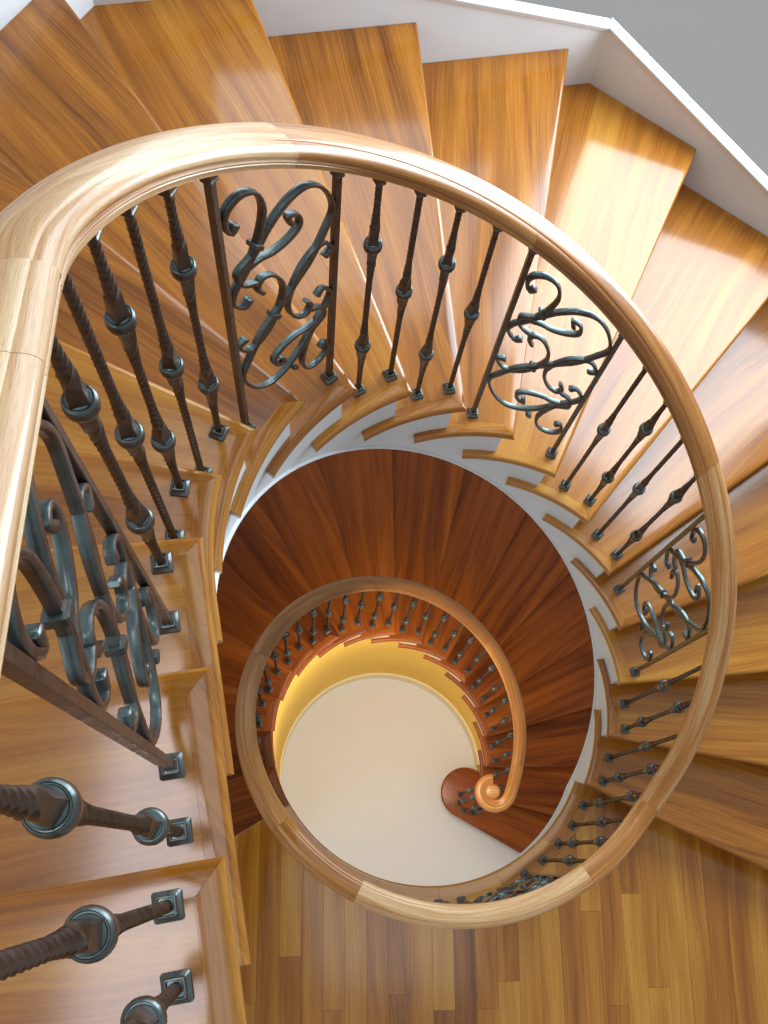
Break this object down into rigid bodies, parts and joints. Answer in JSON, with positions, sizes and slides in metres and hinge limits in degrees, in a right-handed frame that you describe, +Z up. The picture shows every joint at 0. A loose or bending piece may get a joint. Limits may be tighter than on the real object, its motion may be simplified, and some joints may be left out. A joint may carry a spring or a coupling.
{
  "type": "curved staircase",
  "caption": "Curved wooden staircase climbing in two flights round an open well, with a coiled handrail, wrought iron balusters and scroll panels.",
  "frame": {"origin": "on the ground floor under the middle of the starting step, halfway along its tread", "axes": "+Z up; +X and +Y level, with the well's axis behind the origin; the stair climbs counter-clockwise seen from above"},
  "size_m": [4.1437, 4.1172, 7.42],
  "materials": {
    "tread_wood": "gloss",
    "riser_wood": "satin",
    "rail_wood": "gloss",
    "white_paint": "satin",
    "cream_paint": "satin",
    "yellow_plaster": "matte",
    "ceiling_plaster": "matte",
    "wrought_iron": "satin"
  },
  "bodies": {
    "root": {"drum_baseboard": "cream_paint", "drum_wall_1": "yellow_plaster", "drum_wall_2": "yellow_plaster", "drum_wall_3": "yellow_plaster", "drum_wall_4": "yellow_plaster", "landing_balusters": "wrought_iron", "landing_edge": "tread_wood", "landing_fascia": "white_paint", "landing_floor": "tread_wood", "landing_frame": "ceiling_plaster", "landing_rail": "rail_wood", "lower_balusters": "wrought_iron", "lower_inner_string": "cream_paint", "lower_rail": "rail_wood", "lower_return_nosings": "tread_wood", "lower_risers": "riser_wood", "lower_treads": "tread_wood", "lower_wall_string": "cream_paint", "rail_volute": "rail_wood", "scroll_panel_1": "wrought_iron", "scroll_panel_2": "wrought_iron", "scroll_panel_3": "wrought_iron", "scroll_panel_4": "wrought_iron", "scroll_panel_5": "wrought_iron", "scroll_panel_6": "wrought_iron", "starting_step": "riser_wood", "starting_tread": "tread_wood", "top_balusters": "wrought_iron", "top_fascia": "white_paint", "top_floor": "tread_wood", "top_frame": "ceiling_plaster", "top_rail": "rail_wood", "upper_balusters": "wrought_iron", "upper_inner_string": "white_paint", "upper_rail": "rail_wood", "upper_return_nosings": "tread_wood", "upper_risers": "riser_wood", "upper_straight_string": "white_paint", "upper_treads": "tread_wood", "upper_wall_string": "white_paint", "volute_balusters": "wrought_iron"}
  },
  "joints": []
}
